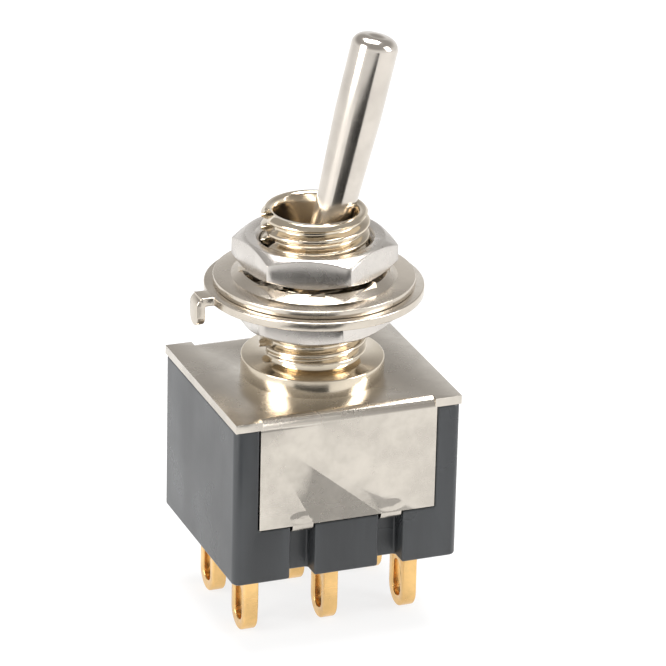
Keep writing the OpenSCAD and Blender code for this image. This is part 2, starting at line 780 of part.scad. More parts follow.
case_moulding();
frame();
bushing();
lever();
slider();
plunger(front);  // plunger_front
plunger(rear);  // plunger_rear
spring(front);  // spring_front
spring(rear);  // spring_rear
blade(front);  // blade_front
blade(rear);  // blade_rear
contact(front, left);  // contact_front_left
contact(front, right);  // contact_front_right
contact(rear, left);  // contact_rear_left
contact(rear, right);  // contact_rear_right
outer_lug(front, left);  // lug_front_left
middle_lug(front);  // lug_front_middle
outer_lug(front, right);  // lug_front_right
outer_lug(rear, left);  // lug_rear_left
middle_lug(rear);  // lug_rear_middle
outer_lug(rear, right);  // lug_rear_right
terminal_seal();
lower_nut();
locating_washer();
lock_washer();
upper_nut();
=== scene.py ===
import json
import math

import bmesh
import bpy
from bpy.props import FloatProperty, FloatVectorProperty, IntProperty, PointerProperty
from mathutils import Matrix, Vector


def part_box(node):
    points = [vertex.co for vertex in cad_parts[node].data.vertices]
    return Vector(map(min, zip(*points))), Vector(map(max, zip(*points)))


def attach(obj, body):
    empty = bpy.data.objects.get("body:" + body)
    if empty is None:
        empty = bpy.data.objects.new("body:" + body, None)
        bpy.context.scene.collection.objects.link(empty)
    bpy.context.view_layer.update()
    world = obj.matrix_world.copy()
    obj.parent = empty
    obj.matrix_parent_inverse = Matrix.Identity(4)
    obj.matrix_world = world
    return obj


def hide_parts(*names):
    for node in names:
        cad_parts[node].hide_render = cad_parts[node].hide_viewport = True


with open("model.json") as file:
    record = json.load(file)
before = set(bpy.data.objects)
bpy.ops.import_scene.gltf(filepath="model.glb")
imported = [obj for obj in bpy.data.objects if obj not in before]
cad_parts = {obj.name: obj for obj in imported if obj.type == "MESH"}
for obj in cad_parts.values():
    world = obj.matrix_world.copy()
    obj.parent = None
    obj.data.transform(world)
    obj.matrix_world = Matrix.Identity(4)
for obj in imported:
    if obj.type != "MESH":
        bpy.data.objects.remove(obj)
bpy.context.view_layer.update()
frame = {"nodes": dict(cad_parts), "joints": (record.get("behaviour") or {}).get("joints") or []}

bl_info = {
    "name": "Panel Toggle Switch",
    "version": (1, 0, 0),
    "blender": (4, 5, 0),
    "location": "View3D > Sidebar > Toggle Switch",
    "description": "Dresses a miniature panel toggle switch and lights it on a pale table",
    "category": "Object",
}

MM = 0.001

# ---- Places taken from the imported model, in metres --------------------------

CASE_LOW, CASE_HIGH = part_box("case_moulding")
FRAME_LOW, FRAME_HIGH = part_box("frame")
BUSHING_LOW, BUSHING_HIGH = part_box("bushing")
LOWER_NUT_LOW, LOWER_NUT_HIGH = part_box("lower_nut")
UPPER_NUT_LOW, UPPER_NUT_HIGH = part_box("upper_nut")
LOCK_LOW, LOCK_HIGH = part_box("lock_washer")
LUG_LOW, LUG_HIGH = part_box("lug_front_middle")
SPRING_LOW, SPRING_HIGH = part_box("spring_front")
JOINTS = {joint["name"]: joint for joint in frame["joints"]}
PIVOT = Vector(JOINTS["lever_tilt"]["pos_m"])
LEVER_LEAN = math.radians(-JOINTS["lever_tilt"]["range_deg"][0] / 2)
LUG_NODES = [
    "lug_front_left", "lug_front_middle", "lug_front_right",
    "lug_rear_left", "lug_rear_middle", "lug_rear_right",
]
POLES = ("front", "rear")


# ---- Sizes, finishes and studio settings that a user would change -----------

def length(name, description, millimetres, lowest=0.0):
    return FloatProperty(
        name=name, description=description, default=millimetres * MM, min=lowest,
        subtype="DISTANCE", unit="LENGTH", precision=5,
    )


def share(name, description, default):
    return FloatProperty(
        name=name, description=description, default=default, min=0.0, max=1.0,
        subtype="FACTOR",
    )


def colour(name, description, default):
    return FloatVectorProperty(
        name=name, description=description, default=default, min=0.0, max=1.0,
        size=3, subtype="COLOR",
    )


class SwitchSizes(bpy.types.PropertyGroup):
    thread_pitch: length("Thread pitch", "Rise of the thread in one turn", 0.75)
    thread_depth: length("Thread depth", "Depth of the thread's groove", 0.4)
    thread_radius: length("Thread radius", "Half the thread's outside diameter", 3.0)
    thread_bevel: length("Thread lead", "Bevel at the start of the thread", 0.25)
    relief_radius: length("Neck radius", "Radius of the plain neck under the thread", 2.6)
    relief_height: length("Neck height", "Height of the plain neck under the thread", 0.5)
    collar_radius: length("Collar radius", "Radius of the collar on the frame", 4.0)
    collar_height: length("Collar height", "Height of the collar on the frame", 1.05)
    mouth_radius: length("Mouth radius", "Radius of the bushing's open mouth", 2.35)
    mouth_depth: length("Mouth depth", "Depth of the bushing's straight mouth", 0.7)
    throat_radius: length("Throat radius", "Radius above the lever's ball", 1.55)
    seat_radius: length("Seat radius", "Radius of the seat round the lever's ball", 2.05)
    keyway_width: length("Keyway width", "Width of the slot along the thread", 1.2)
    keyway_depth: length("Keyway depth", "Depth of the slot along the thread", 0.45)
    nut_flats: length("Nut flats", "Width of both nuts across their flats", 8.0)
    nut_bore: length("Nut bore radius", "Radius of the nuts' bore", 3.05)
    tip_radius: length("Lever tip radius", "Radius of the lever at its tip", 1.3)
    neck_radius: length("Lever neck radius", "Radius of the lever in the bushing", 1.1)
    lever_length: length("Lever length", "Length of the lever from its pivot", 15.1)
    tip_round: length("Tip rounding", "Rounding of the lever's tip", 0.75)
    teeth: IntProperty(
        name="Lock washer teeth", description="Number of inner teeth of the lock washer",
        default=8, min=4, max=12,
    )
    metal_edge: length("Metal edges", "Rounding of the sheet metal's edges", 0.07)
    moulded_edge: length("Moulded edges", "Rounding of the case's edges", 0.13)


class SwitchFinishes(bpy.types.PropertyGroup):
    plate: colour("Frame", "Nickel of the folded frame", (0.62, 0.575, 0.51))
    turned: colour("Bushing", "Nickel of the bushing", (0.70, 0.615, 0.49))
    lever: colour("Lever", "Nickel of the lever", (0.66, 0.61, 0.55))
    nut: colour("Nuts", "Nickel of the nuts", (0.66, 0.625, 0.585))
    washer: colour("Washers", "Nickel of the washers", (0.64, 0.58, 0.50))
    case: colour("Case", "Moulded case", (0.022, 0.024, 0.026))
    lug: colour("Terminals", "Plating of the terminals", (0.90, 0.58, 0.24))
    seal: colour("Seal", "Resin under the case", (0.035, 0.032, 0.028))
    slider: colour("Slider", "Moulded slider", (0.74, 0.70, 0.60))
    plunger: colour("Plungers", "Brass of the plungers", (0.72, 0.52, 0.26))
    spring: colour("Springs", "Steel of the springs", (0.55, 0.55, 0.56))
    contact: colour("Contacts", "Silver of the contacts", (0.84, 0.83, 0.80))


class SwitchStudio(bpy.types.PropertyGroup):
    azimuth: FloatProperty(
        name="Camera azimuth", description="Turn of the camera round the switch",
        default=math.radians(-21.5), subtype="ANGLE", unit="ROTATION",
    )
    elevation: FloatProperty(
        name="Camera elevation", description="Height of the camera above the horizon",
        default=math.radians(23.03), subtype="ANGLE", unit="ROTATION",
    )
    roll: FloatProperty(
        name="Camera roll", description="Lean of the camera",
        default=math.radians(1.35), subtype="ANGLE", unit="ROTATION",
    )
    distance: length("Camera distance", "Distance from the camera to the switch", 254.0)
    aim_right: length("Aim to the right", "How far the camera aims past the bushing", 1.16)
    aim_up: length("Aim upwards", "How far the camera aims above the frame", 2.05)
    lens: FloatProperty(
        name="Lens", description="Focal length in millimetres", default=247.0, min=20.0,
    )
    floor: colour("Table", "Colour of the table and backdrop", (0.92, 0.92, 0.92))


# ---- Meshes -----------------------------------------------------------------

def piece_from_bmesh(name, shape):
    """Makes a named object in the scene from a bmesh, with its faces turned outwards."""
    bmesh.ops.remove_doubles(shape, verts=shape.verts, dist=1e-8)
    bmesh.ops.recalc_face_normals(shape, faces=shape.faces)
    mesh = bpy.data.meshes.new(name)
    shape.to_mesh(mesh)
    shape.free()
    piece = bpy.data.objects.new(name, mesh)
    bpy.context.scene.collection.objects.link(piece)
    return piece


def merged_copy(node):
    """A copy of a CAD node's mesh with its points joined and its flat faces made whole."""
    shape = bmesh.new()
    shape.from_mesh(frame["nodes"][node].data)
    bmesh.ops.remove_doubles(shape, verts=shape.verts, dist=0.0005 * MM)
    bmesh.ops.dissolve_limit(
        shape, angle_limit=math.radians(0.5), use_dissolve_boundaries=False,
        verts=shape.verts, edges=shape.edges, delimit={"NORMAL"},
    )
    return shape


def turned(name, profile, columns, closed=True):
    """Turns a list of (radius, height) points round Z. columns is a list of angles."""
    shape = bmesh.new()
    rings = []
    for radius, height in profile:
        if radius < 1e-7:
            rings.append([shape.verts.new((0, 0, height))] * len(columns))
        else:
            rings.append([
                shape.verts.new((radius * math.cos(a), radius * math.sin(a), height))
                for a in columns
            ])
    pairs = list(zip(rings, rings[1:]))
    if closed:
        pairs.append((rings[-1], rings[0]))
    for low, high in pairs:
        for i in range(len(columns)):
            corners = [low[i - 1], low[i], high[i], high[i - 1]]
            corners = [v for k, v in enumerate(corners) if v not in corners[:k]]
            if len(corners) > 2:
                shape.faces.new(corners)
    return piece_from_bmesh(name, shape)


def even_columns(count):
    return [2 * math.pi * i / count for i in range(count)]


def soften(piece, radius, angle=30.0, segments=3, clamp=False):
    """Rounds the edges sharper than the given angle; clamp keeps short edges from overshooting."""
    bevel = piece.modifiers.new("Rounded edges", "BEVEL")
    bevel.width = radius
    bevel.segments = segments
    bevel.limit_method = "ANGLE"
    bevel.angle_limit = math.radians(angle)
    bevel.use_clamp_overlap = clamp
    bevel.miter_outer = "MITER_ARC"
    bevel.harden_normals = True


def settle(piece, smooth_angle=40.0):
    """Turns the result of the modifiers into the piece's plain mesh."""
    piece.data.shade_smooth()
    graph = bpy.context.evaluated_depsgraph_get()
    graph.update()
    made = bpy.data.meshes.new_from_object(piece.evaluated_get(graph), depsgraph=graph)
    piece.modifiers.clear()
    piece.data = made
    piece.data.name = piece.name
    if smooth_angle:
        piece.data.set_sharp_from_angle(angle=math.radians(smooth_angle))
    return piece


def finish_piece(piece, material, body, slot, *nodes):
    """Gives the piece its material and its body, and hides the CAD nodes it stands for; slot is
    not used.
    """
    piece.data.materials.clear()
    piece.data.materials.append(material)
    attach(piece, body)
    if nodes:
        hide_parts(*nodes)
    return piece


# ---- Node wiring ------------------------------------------------------------

class Wiring:
    """Adds nodes to a tree and joins their sockets."""

    def __init__(self, tree):
        self.tree = tree
        self.count = 0

    def node(self, kind, inputs=None, **settings):
        made = self.tree.nodes.new(kind)
        made.location = (200 * (self.count % 12), -220 * (self.count // 12))
        self.count += 1
        for name, value in settings.items():
            setattr(made, name, value)
        for key, value in (inputs or {}).items():
            self.feed(made.inputs[key], value)
        return made

    def feed(self, socket, value):
        if isinstance(value, bpy.types.NodeSocket):
            self.tree.links.new(value, socket)
        else:
            socket.default_value = value

    def math(self, operation, first, second=0.0, third=0.0):
        made = self.node("ShaderNodeMath", operation=operation)
        for socket, value in zip(made.inputs, (first, second, third)):
            self.feed(socket, value)
        return made.outputs[0]

    def remap(self, value, low, high, to_low=0.0, to_high=1.0, smooth=True):
        kind = "SMOOTHSTEP" if smooth else "LINEAR"
        made = self.node("ShaderNodeMapRange", interpolation_type=kind)
        for key, given in zip(
            ("Value", "From Min", "From Max", "To Min", "To Max"),
            (value, low, high, to_low, to_high),
        ):
            self.feed(made.inputs[key], given)
        return made.outputs["Result"]

    def noise(self, vector, scale, detail=2.0, roughness=0.5, distortion=0.0):
        made = self.node("ShaderNodeTexNoise")
        for key, given in zip(
            ("Vector", "Scale", "Detail", "Roughness", "Distortion"),
            (vector, scale, detail, roughness, distortion),
        ):
            self.feed(made.inputs[key], given)
        return made.outputs[0]

    def blend(self, factor, first, second, kind="MIX"):
        made = self.node("ShaderNodeMix", data_type="RGBA", blend_type=kind)
        self.feed(made.inputs[0], factor)
        self.feed(made.inputs[6], first)
        self.feed(made.inputs[7], second)
        return made.outputs[2]


def rgba(triple, gain=1.0):
    return (*[min(1.0, c * gain) for c in triple], 1.0)


# ---- Shader groups shared by the materials ----------------------------------

def new_group(name, sockets, outputs):
    """A shader node group with named inputs (name, kind, default) and outputs (name, kind)."""
    group = bpy.data.node_groups.new(name, "ShaderNodeTree")
    for label, kind, default in sockets:
        socket = group.interface.new_socket(label, in_out="INPUT", socket_type=kind)
        if default is not None:
            socket.default_value = default
    for label, kind in outputs:
        group.interface.new_socket(label, in_out="OUTPUT", socket_type=kind)
    wiring = Wiring(group)
    return group, wiring, wiring.node("NodeGroupInput"), wiring.node("NodeGroupOutput")


def plating_group():
    """Cloudy tarnish, fine grain and stray hairline scratches of plated metal."""
    group, wiring, given, out = new_group(
        "Plating",
        [
            ("Vector", "NodeSocketVector", None),
            ("Cloud Scale", "NodeSocketFloat", 350.0),
            ("Grain Scale", "NodeSocketFloat", 9000.0),
            ("Scratch Scale", "NodeSocketFloat", 1500.0),
        ],
        [
            ("Cloud", "NodeSocketFloat"),
            ("Grain", "NodeSocketFloat"),
            ("Scratch", "NodeSocketFloat"),
            ("Height", "NodeSocketFloat"),
        ],
    )
    place = given.outputs["Vector"]
    cloud = wiring.noise(place, given.outputs["Cloud Scale"], 4.0, 0.6)
    cloud = wiring.remap(cloud, 0.3, 0.7)
    grain = wiring.noise(place, given.outputs["Grain Scale"], 3.0, 0.7)
    drawn = wiring.node(
        "ShaderNodeMapping", {"Vector": place, "Scale": (0.06, 0.06, 1.0)},
    )
    lines = wiring.noise(
        drawn.outputs[0], given.outputs["Scratch Scale"], 2.0, 0.5, 0.4,
    )
    scratch = wiring.remap(lines, 0.62, 0.72)
    height = wiring.math("MULTIPLY_ADD", scratch, -0.6, grain)
    for label, value in zip(
        ("Cloud", "Grain", "Scratch", "Height"), (cloud, grain, scratch, height)
    ):
        wiring.feed(out.inputs[label], value)
    return group


def tool_marks_group():
    """Fine rings that a turning tool leaves round Z, on faces and round walls alike."""
    group, wiring, given, out = new_group(
        "Turning marks",
        [
            ("Vector", "NodeSocketVector", None),
            ("Ring Scale", "NodeSocketFloat", 6000.0),
        ],
        [("Rings", "NodeSocketFloat")],
    )
    apart = wiring.node("ShaderNodeSeparateXYZ", {"Vector": given.outputs["Vector"]})
    flat = wiring.node(
        "ShaderNodeCombineXYZ", {"X": apart.outputs["X"], "Y": apart.outputs["Y"]},
    )
    radius = wiring.node(
        "ShaderNodeVectorMath", {0: flat.outputs[0]}, operation="LENGTH",
    )
    line = wiring.node(
        "ShaderNodeCombineXYZ", {"X": radius.outputs["Value"], "Y": apart.outputs["Z"]},
    )
    rings = wiring.noise(line.outputs[0], given.outputs["Ring Scale"], 3.0, 0.6)
    wiring.feed(out.inputs["Rings"], rings)
    return group


def edge_group():
    """Mask of the edges that handling and barrel plating have rubbed bright."""
    group, wiring, given, out = new_group(
        "Rubbed edges",
        [
            ("Vector", "NodeSocketVector", None),
            ("Radius", "NodeSocketFloat", 0.12 * MM),
            ("Break-up", "NodeSocketFloat", 2500.0),
        ],
        [("Mask", "NodeSocketFloat")],
    )
    rounded = wiring.node(
        "ShaderNodeBevel", {"Radius": given.outputs["Radius"]}, samples=4,
    )
    true_normal = wiring.node("ShaderNodeNewGeometry")
    agree = wiring.node(
        "ShaderNodeVectorMath",
        {0: rounded.outputs[0], 1: true_normal.outputs["Normal"]}, operation="DOT_PRODUCT",
    )
    edge = wiring.remap(agree.outputs["Value"], 0.995, 0.85)
    patchy = wiring.noise(given.outputs["Vector"], given.outputs["Break-up"], 3.0, 0.6)
    mask = wiring.math("MULTIPLY", edge, wiring.remap(patchy, 0.35, 0.6))
    wiring.feed(out.inputs["Mask"], mask)
    return group


def speckle_group():
    """Flow streaks and fine pitting of a moulded surface."""
    group, wiring, given, out = new_group(
        "Moulded skin",
        [
            ("Vector", "NodeSocketVector", None),
            ("Pit Scale", "NodeSocketFloat", 7000.0),
            ("Streak Scale", "NodeSocketFloat", 420.0),
        ],
        [
            ("Pits", "NodeSocketFloat"),
            ("Streaks", "NodeSocketFloat"),
            ("Haze", "NodeSocketFloat"),
        ],
    )
    place = given.outputs["Vector"]
    pits = wiring.noise(place, given.outputs["Pit Scale"], 3.0, 0.6)
    drawn = wiring.node(
        "ShaderNodeMapping", {"Vector": place, "Scale": (1.0, 1.0, 0.12)},
    )
    streaks = wiring.noise(drawn.outputs[0], given.outputs["Streak Scale"], 4.0, 0.6)
    haze = wiring.noise(place, 160.0, 3.0, 0.55)
    for label, value in zip(("Pits", "Streaks", "Haze"), (pits, streaks, haze)):
        wiring.feed(out.inputs[label], value)
    return group


GROUPS = {}


def group_node(wiring, name, vector, **values):
    """Places a shared group, made on first use, and feeds its inputs."""
    makers = {
        "Plating": plating_group,
        "Turning marks": tool_marks_group,
        "Rubbed edges": edge_group,
        "Moulded skin": speckle_group,
    }
    if name not in GROUPS:
        GROUPS[name] = makers[name]()
    made = wiring.node("ShaderNodeGroup", node_tree=GROUPS[name])
    if vector is not None:
        wiring.feed(made.inputs["Vector"], vector)
    for key, value in values.items():
        wiring.feed(made.inputs[key.replace("_", " ")], value)
    return made


# ---- Materials --------------------------------------------------------------

def new_material(name, **constants):
    """A material whose shader takes the given plain values, with its wiring."""
    material = bpy.data.materials.new(name)
    material.use_nodes = True
    material.node_tree.nodes.clear()
    wiring = Wiring(material.node_tree)
    shader = wiring.node("ShaderNodeBsdfPrincipled")
    for key, value in constants.items():
        shader.inputs[key.replace("_", " ")].default_value = value
    out = wiring.node("ShaderNodeOutputMaterial")
    wiring.feed(out.inputs["Surface"], shader.outputs[0])
    place = wiring.node("ShaderNodeTexCoord").outputs["Object"]
    return material, wiring, shader, place


def bump(wiring, shader, height, depth, strength=1.0):
    made = wiring.node(
        "ShaderNodeBump", {"Height": height, "Distance": depth, "Strength": strength},
    )
    wiring.feed(shader.inputs["Normal"], made.outputs[0])
    return made


def plated_metal(name, base, rough, rough_spread=0.08, marks=0.0, lean=None, grain=0.0012,
                 cloud=0.12, cloud_scale=350.0):
    """Plated metal: cloudy tone, grain, hairlines, rubbed edges and turning marks."""
    material, wiring, shader, place = new_material(name, Metallic=1.0)
    if lean is not None:
        place = wiring.node(
            "ShaderNodeMapping",
            {"Vector": place, "Location": lean[0], "Rotation": lean[1]},
            vector_type="TEXTURE",
        ).outputs[0]
    plating = group_node(wiring, "Plating", place, Cloud_Scale=cloud_scale)
    edges = group_node(wiring, "Rubbed edges", place)
    dark = rgba(base, 1.0 - cloud)
    tone = wiring.blend(plating.outputs["Cloud"], dark, rgba(base, 1.03))
    tone = wiring.blend(
        wiring.math("MULTIPLY", edges.outputs["Mask"], 0.5), tone, rgba(base, 1.22),
    )
    wiring.feed(shader.inputs["Base Color"], tone)
    level = wiring.remap(
        plating.outputs["Cloud"], 0.0, 1.0, rough + rough_spread, rough, smooth=False,
    )
    level = wiring.math("MULTIPLY_ADD", plating.outputs["Scratch"], 0.1, level)
    level = wiring.math("MULTIPLY_ADD", edges.outputs["Mask"], -0.08, level)
    wiring.feed(shader.inputs["Roughness"], level)
    height = plating.outputs["Height"]
    if marks:
        rings = group_node(wiring, "Turning marks", place)
        height = wiring.math("MULTIPLY_ADD", rings.outputs["Rings"], marks, height)
    bump(wiring, shader, height, grain * MM)
    return material


def frame_metal(finish):
    """Nickel of the folded sheet, with pressed hollows above the four crimp tabs."""
    material = plated_metal("Frame nickel", finish.plate, 0.2, 0.1, cloud=0.16, cloud_scale=420.0)
    wiring = Wiring(material.node_tree)
    nodes = material.node_tree.nodes
    place = next(n for n in nodes if n.type == "TEX_COORD").outputs["Object"]
    shader = next(n for n in nodes if n.type == "BSDF_PRINCIPLED")
    old_bump = next(n for n in nodes if n.type == "BUMP")
    folded = wiring.node("ShaderNodeVectorMath", {0: place}, operation="ABSOLUTE")
    centre = (2.6 * MM, FRAME_HIGH.y, 6.05 * MM)
    away = wiring.node(
        "ShaderNodeVectorMath", {0: folded.outputs[0], 1: centre}, operation="SUBTRACT",
    )
    stretched = wiring.node(
        "ShaderNodeVectorMath", {0: away.outputs[0], 1: (1.0, 1.0, 2.1)}, operation="MULTIPLY",
    )
    reach = wiring.node(
        "ShaderNodeVectorMath", {0: stretched.outputs[0]}, operation="LENGTH",
    )
    hollow = wiring.remap(reach.outputs["Value"], 0.15 * MM, 0.85 * MM, 0.0, 1.0)
    pressed = wiring.node(
        "ShaderNodeBump",
        {"Height": hollow, "Distance": 0.12 * MM, "Normal": old_bump.outputs[0]},
    )
    wiring.feed(shader.inputs["Normal"], pressed.outputs[0])
    return material


def case_plastic(finish):
    """Glossy black moulding: faint flow streaks, pits and paler rubbed edges."""
    material, wiring, shader, place = new_material("Case moulding", IOR=1.53)
    skin = group_node(wiring, "Moulded skin", place)
    edges = group_node(wiring, "Rubbed edges", place, Radius=0.2 * MM)
    tone = wiring.blend(
        wiring.remap(skin.outputs["Streaks"], 0.35, 0.7), rgba(finish.case, 0.8),
        rgba(finish.case, 1.35),
    )
    tone = wiring.blend(
        wiring.math("MULTIPLY", edges.outputs["Mask"], 0.35), tone, rgba(finish.case, 2.6),
    )
    wiring.feed(shader.inputs["Base Color"], tone)
    level = wiring.remap(skin.outputs["Haze"], 0.3, 0.7, 0.24, 0.36)
    level = wiring.math("MULTIPLY_ADD", edges.outputs["Mask"], 0.12, level)
    wiring.feed(shader.inputs["Roughness"], level)
    height = wiring.math("MULTIPLY_ADD", skin.outputs["Streaks"], 0.8, skin.outputs["Pits"])
    bump(wiring, shader, height, 0.004 * MM)
    return material


def resin(finish):
    """Poured resin: glossy with soft waves and dull spots."""
    material, wiring, shader, place = new_material("Seal resin", IOR=1.55)
    waves = wiring.noise(place, 300.0, 3.0, 0.5, 0.5)
    dull = wiring.noise(place, 1200.0, 4.0, 0.6)
    tone = wiring.blend(
        wiring.remap(waves, 0.35, 0.65), rgba(finish.seal, 0.7), rgba(finish.seal, 1.6),
    )
    wiring.feed(shader.inputs["Base Color"], tone)
    wiring.feed(shader.inputs["Roughness"], wiring.remap(dull, 0.35, 0.7, 0.15, 0.45))
    bump(wiring, shader, waves, 0.08 * MM)
    return material


def nylon(finish):
    """Natural nylon: milky, softly lit from inside, with a faint grain."""
    material, wiring, shader, place = new_material(
        "Slider nylon", IOR=1.53, Subsurface_Weight=0.25, Subsurface_Scale=0.6 * MM,
    )
    skin = group_node(wiring, "Moulded skin", place)
    tone = wiring.blend(
        skin.outputs["Haze"], rgba(finish.slider, 0.88), rgba(finish.slider, 1.06),
    )
    wiring.feed(shader.inputs["Base Color"], tone)
    wiring.feed(
        shader.inputs["Roughness"], wiring.remap(skin.outputs["Streaks"], 0.3, 0.7, 0.38, 0.52),
    )
    bump(wiring, shader, skin.outputs["Pits"], 0.005 * MM)
    return material


def make_materials(finish):
    """All the finishes of the switch, by name."""
    upright = None
    leaning = (PIVOT, (0.0, LEVER_LEAN, 0.0))
    return {
        "frame": frame_metal(finish),
        "bushing": plated_metal("Bushing nickel", finish.turned, 0.13, 0.06, 0.5, upright),
        "lever": plated_metal("Lever nickel", finish.lever, 0.14, 0.05, 0.35, leaning),
        "nut": plated_metal("Nut nickel", finish.nut, 0.22, 0.08, 0.0, cloud=0.1),
        "washer": plated_metal("Washer nickel", finish.washer, 0.2, 0.08, 0.25, upright),
        "lug": plated_metal("Terminal plating", finish.lug, 0.2, 0.08, cloud=0.16,
                            cloud_scale=600.0),
        "plunger": plated_metal("Plunger brass", finish.plunger, 0.25, 0.1, cloud=0.15),
        "spring": plated_metal("Spring steel", finish.spring, 0.25, 0.1),
        "contact": plated_metal("Contact silver", finish.contact, 0.3, 0.12, cloud=0.15),
        "case": case_plastic(finish),
        "seal": resin(finish),
        "slider": nylon(finish),
    }


MATERIALS = {}


def material(name):
    if not MATERIALS:
        MATERIALS.update(make_materials(bpy.context.scene.switch_finishes))
    return MATERIALS[name]


# ---- Geometry node trees ----------------------------------------------------

def new_geometry_tree(name, inputs):
    """A geometry tree with a Geometry input and output and the named inputs."""
    tree = bpy.data.node_groups.new(name, "GeometryNodeTree")
    tree.interface.new_socket("Geometry", in_out="INPUT", socket_type="NodeSocketGeometry")
    for label, kind in inputs:
        tree.interface.new_socket(label, in_out="INPUT", socket_type=kind)
    tree.interface.new_socket("Geometry", in_out="OUTPUT", socket_type="NodeSocketGeometry")
    wiring = Wiring(tree)
    return tree, wiring, wiring.node("NodeGroupInput"), wiring.node("NodeGroupOutput")


def end_tree(wiring, given, out, geometry):
    """Ends a tree in Realize Instances and Set Material."""
    real = wiring.node("GeometryNodeRealizeInstances", {0: geometry})
    dressed = wiring.node(
        "GeometryNodeSetMaterial",
        {"Geometry": real.outputs[0], "Material": given.outputs["Material"]},
    )
    wiring.feed(out.inputs[0], dressed.outputs[0])


def run_tree(piece, tree, values):
    """Adds the tree to the piece with its inputs set."""
    modifier = piece.modifiers.new(tree.name, "NODES")
    modifier.node_group = tree
    for item in tree.interface.items_tree:
        if item.item_type == "SOCKET" and item.in_out == "INPUT" and item.name in values:
            modifier[item.identifier] = values[item.name]
    return piece


def thread_tree():
    """Cuts a helical thread and a keyway into a turned body that stands on Z."""
    numbers = (
        "Pitch", "Depth", "Thread Radius", "Start", "End", "Keyway Width", "Keyway Depth",
        "Keyway Start",
    )
    tree, wiring, given, out = new_geometry_tree(
        "Threaded bushing",
        [(label, "NodeSocketFloat") for label in numbers] + [("Material", "NodeSocketMaterial")],
    )
    pitch, depth, crest, start, end, key_w, key_d, key_z = (given.outputs[n] for n in numbers)
    place = wiring.node("GeometryNodeInputPosition").outputs[0]
    apart = wiring.node("ShaderNodeSeparateXYZ", {0: place})
    x, y, z = apart.outputs
    radius = wiring.math(
        "SQRT", wiring.math("ADD", wiring.math("MULTIPLY", x, x), wiring.math("MULTIPLY", y, y)),
    )
    around = wiring.math("DIVIDE", wiring.math("ARCTAN2", y, x), 2 * math.pi)
    turn = wiring.math("SUBTRACT", wiring.math("DIVIDE", z, pitch), around)
    ramp = wiring.math("ABSOLUTE", wiring.math("SUBTRACT", wiring.math("FRACT", turn), 0.5))
    groove = wiring.remap(ramp, 0.07, 0.43, 1.0, 0.0)
    run_in = wiring.remap(z, start, wiring.math("MULTIPLY_ADD", pitch, 0.5, start))
    run_out = wiring.remap(z, wiring.math("MULTIPLY_ADD", pitch, -0.25, end), end, 1.0, 0.0)
    cut = wiring.math("MULTIPLY", wiring.math("MULTIPLY", groove, depth),
                      wiring.math("MULTIPLY", run_in, run_out))
    new_radius = wiring.math("MINIMUM", radius, wiring.math("SUBTRACT", crest, cut))
    scale = wiring.math("DIVIDE", new_radius, wiring.math("MAXIMUM", radius, 1e-6))
    threaded = wiring.node("ShaderNodeCombineXYZ", {
        0: wiring.math("MULTIPLY", x, scale), 1: wiring.math("MULTIPLY", y, scale), 2: z,
    })
    outside = wiring.math("GREATER_THAN", radius, wiring.math("MULTIPLY", crest, 0.88))
    in_thread = wiring.math("MULTIPLY", outside, wiring.math("GREATER_THAN", z, start))
    shaped = wiring.node("GeometryNodeSetPosition", {
        "Geometry": given.outputs["Geometry"], "Selection": in_thread,
        "Position": threaded.outputs[0],
    })
    place = wiring.node("GeometryNodeInputPosition").outputs[0]
    x, y, z = wiring.node("ShaderNodeSeparateXYZ", {0: place}).outputs
    floor_x = wiring.math("SUBTRACT", key_d, crest)
    slotted = wiring.node("ShaderNodeCombineXYZ", {
        0: wiring.math("MAXIMUM", x, floor_x), 1: y, 2: z,
    })
    within = wiring.math(
        "LESS_THAN", wiring.math("ABSOLUTE", y), wiring.math("MULTIPLY", key_w, 0.499),
    )
    above = wiring.math("GREATER_THAN", z, key_z)
    keyed = wiring.node("GeometryNodeSetPosition", {
        "Geometry": shaped.outputs[0], "Selection": wiring.math("MULTIPLY", within, above),
        "Position": slotted.outputs[0],
    })
    end_tree(wiring, given, out, keyed.outputs[0])
    return tree


